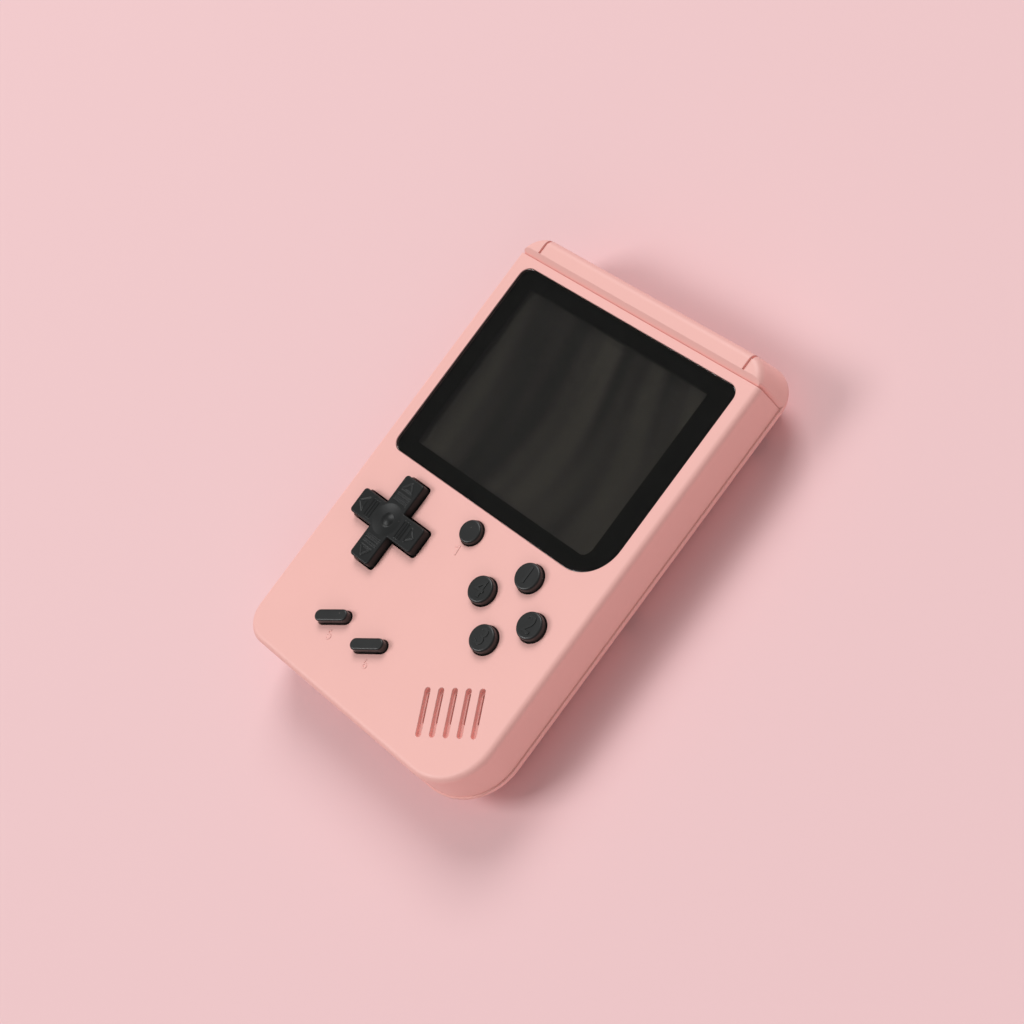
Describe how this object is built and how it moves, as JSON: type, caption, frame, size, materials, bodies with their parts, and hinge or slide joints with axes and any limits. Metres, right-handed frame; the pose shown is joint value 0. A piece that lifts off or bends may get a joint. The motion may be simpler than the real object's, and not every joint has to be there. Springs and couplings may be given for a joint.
{
  "type": "handheld game console",
  "caption": "Pocket game console in one rigid slab: screen lens, direction pad, action, menu and reset buttons, speaker slots, volume wheel, power switch and battery cover.",
  "frame": {"origin": "middle of the bounding box at the rest face, the console lying on its back", "axes": "+Z out of the screen, +Y towards the ridge at the screen end, +X to the player's right"},
  "size_m": [0.0814, 0.1186, 0.0216],
  "materials": {
    "pink_shell": "fine grain moulded plastic",
    "lens_black": "clear acrylic with a black printed border",
    "button_black": "satin moulded plastic",
    "panel_glass": "dark display glass",
    "white_plastic": "plain moulded plastic",
    "flex_film": "amber film",
    "board_green": "solder mask over glass fibre board",
    "chip_black": "moulded resin",
    "grey_rubber": "silicone rubber",
    "black_rubber": "foam and coated paper",
    "black_fabric": "fine woven dust cloth",
    "bright_metal": "nickel plated",
    "magnet_metal": "sintered magnet and plated cup",
    "contact_metal": "gilt spring contacts",
    "battery_wrap": "can with a plain wrap"
  },
  "bodies": {
    "case": {"front_shell": "pink_shell", "back_shell": "pink_shell", "screen_lens": "lens_black", "lens_tape": "black_rubber", "lcd_panel": "panel_glass", "lcd_frame": "white_plastic", "lcd_ribbon": "flex_film", "ribbon_socket": "white_plastic", "main_board": "board_green", "board_chips": "chip_black", "crystal_can": "bright_metal", "board_capacitors": "chip_black", "dpad_post": "white_plastic", "dpad_membrane": "grey_rubber", "action_membrane": "grey_rubber", "reset_membrane": "grey_rubber", "menu_membrane": "grey_rubber", "speaker_frame": "bright_metal", "speaker_cone": "black_rubber", "speaker_magnet": "magnet_metal", "speaker_mesh": "black_fabric", "volume_pot": "bright_metal", "power_switch_body": "bright_metal", "usb_socket": "bright_metal", "av_jack": "chip_black", "battery": "battery_wrap", "battery_contacts": "contact_metal", "case_screws": "bright_metal", "board_screws": "bright_metal"},
    "pad_pivot": {"dpad_pivot": "white_plastic"},
    "pad": {"dpad": "button_black", "dpad_plungers": "grey_rubber"},
    "button_top": {"action_top": "button_black", "plunger_top": "grey_rubber"},
    "button_right": {"action_right": "button_black", "plunger_right": "grey_rubber"},
    "button_bottom": {"action_bottom": "button_black", "plunger_bottom": "grey_rubber"},
    "button_left": {"action_left": "button_black", "plunger_left": "grey_rubber"},
    "reset": {"reset_button": "button_black", "reset_plunger": "grey_rubber"},
    "select": {"select_button": "button_black", "select_plunger": "grey_rubber"},
    "start": {"start_button": "button_black", "start_plunger": "grey_rubber"},
    "volume": {"volume_wheel": "button_black"},
    "power": {"power_knob": "button_black"},
    "cover": {"battery_cover": "pink_shell"}
  },
  "joints": [
    {"name": "pad_up_down", "type": "hinge", "parent": "case", "child": "pad_pivot", "pos_m": [-0.0209, -0.01795, 0.0174], "axis": [1, 0, 0], "range_deg": [-4, 4], "stiffness_Nm_per_rad": 0.02},
    {"name": "pad_left_right", "type": "hinge", "parent": "pad_pivot", "child": "pad", "pos_m": [-0.0209, -0.01795, 0.0174], "axis": [0, 1, 0], "range_deg": [-4, 4], "stiffness_Nm_per_rad": 0.02},
    {"name": "press_top", "type": "slide", "parent": "case", "child": "button_top", "axis": [0, 0, -1], "range_m": [0, 0.0009], "stiffness_N_per_m": 200},
    {"name": "press_right", "type": "slide", "parent": "case", "child": "button_right", "axis": [0, 0, -1], "range_m": [0, 0.0009], "stiffness_N_per_m": 200},
    {"name": "press_bottom", "type": "slide", "parent": "case", "child": "button_bottom", "axis": [0, 0, -1], "range_m": [0, 0.0009], "stiffness_N_per_m": 200},
    {"name": "press_left", "type": "slide", "parent": "case", "child": "button_left", "axis": [0, 0, -1], "range_m": [0, 0.0009], "stiffness_N_per_m": 200},
    {"name": "press_reset", "type": "slide", "parent": "case", "child": "reset", "axis": [0, 0, -1], "range_m": [0, 0.0009], "stiffness_N_per_m": 200},
    {"name": "press_select", "type": "slide", "parent": "case", "child": "select", "axis": [0, 0, -1], "range_m": [0, 0.0009], "stiffness_N_per_m": 200},
    {"name": "press_start", "type": "slide", "parent": "case", "child": "start", "axis": [0, 0, -1], "range_m": [0, 0.0009], "stiffness_N_per_m": 200},
    {"name": "volume_turn", "type": "hinge", "parent": "case", "child": "volume", "pos_m": [-0.03375, 0.03, 0.0092], "axis": [0, 0, 1], "range_deg": [0, 280]},
    {"name": "power_slide", "type": "slide", "parent": "case", "child": "power", "axis": [0, 1, 0], "range_m": [0, 0.0025]},
    {"name": "cover_off", "type": "slide", "parent": "case", "child": "cover", "axis": [0, 0, -1], "range_m": [0, 0.03]}
  ]
}
